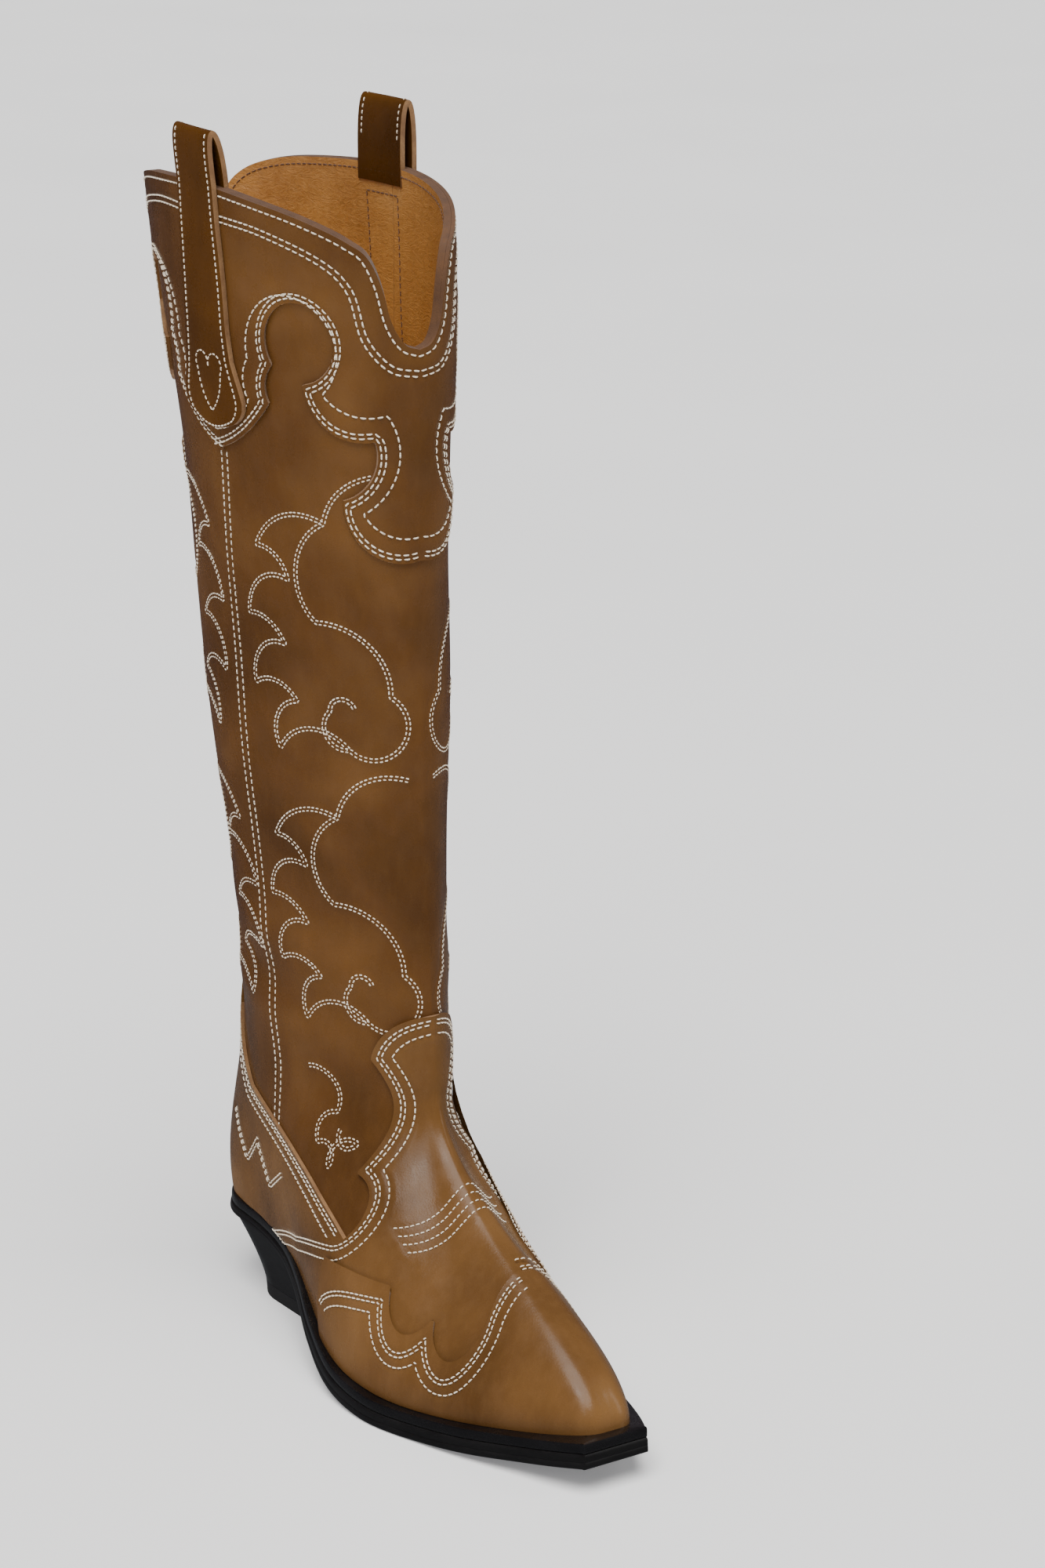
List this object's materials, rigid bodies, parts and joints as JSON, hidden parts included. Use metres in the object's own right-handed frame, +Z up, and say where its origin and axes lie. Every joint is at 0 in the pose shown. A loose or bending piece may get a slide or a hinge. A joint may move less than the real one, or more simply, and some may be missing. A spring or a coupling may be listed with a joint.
{
  "type": "cowboy boot",
  "caption": "Knee-high western boot with pointed squared toe, stitched leather shaft, scalloped overlays, pull straps, welted sole and slanted stacked heel.",
  "frame": {"origin": "on the ground plane, on the flat underside of the heel top lift, under the ankle", "axes": "+Z up the shaft, toe towards -Y, outer (lateral) side of this right boot towards -X"},
  "size_m": [0.1064, 0.3086, 0.5195],
  "materials": {
    "leather_brown": "glossy burnished brown calf leather with darker edges",
    "leather_strap": "glossy brown leather strap with raw tan edges",
    "lining_tan": "matt tan vegetable-tanned lining leather",
    "outsole_black": "satin black sole and welt edge",
    "heel_black": "satin black lacquered stacked heel",
    "rubber_black": "matt black rubber",
    "cork": "matt cork filling",
    "steel": "plain steel",
    "stiffener": "matt impregnated fibre stiffener",
    "backing_cloth": "matt cotton backing",
    "insole_board": "matt leatherboard",
    "foam": "soft matt foam"
  },
  "bodies": {
    "root": {"outsole": "outsole_black", "welt": "outsole_black", "cork_filler": "cork", "steel_shank": "steel", "shank_rivet_front": "steel", "shank_rivet_back": "steel", "heel_block": "heel_black", "heel_top_lift": "rubber_black", "heel_screw": "steel", "heel_nail_1": "steel", "heel_nail_2": "steel", "heel_nail_3": "steel", "heel_nail_4": "steel", "vamp": "leather_brown", "heel_counter_cover": "leather_brown", "toe_wing_overlay": "leather_brown", "collar_front": "leather_brown", "collar_back": "leather_brown", "toe_puff": "stiffener", "vamp_backing": "backing_cloth", "heel_stiffener": "stiffener", "shaft_front_panel": "leather_brown", "shaft_back_panel": "leather_brown", "vamp_lining": "lining_tan", "heel_lining": "lining_tan", "shaft_lining_front": "lining_tan", "shaft_lining_back": "lining_tan", "insole_board": "insole_board", "heel_pad": "foam", "sock_lining": "lining_tan", "pull_strap_outer": "leather_strap", "pull_strap_inner": "leather_strap"}
  },
  "joints": []
}
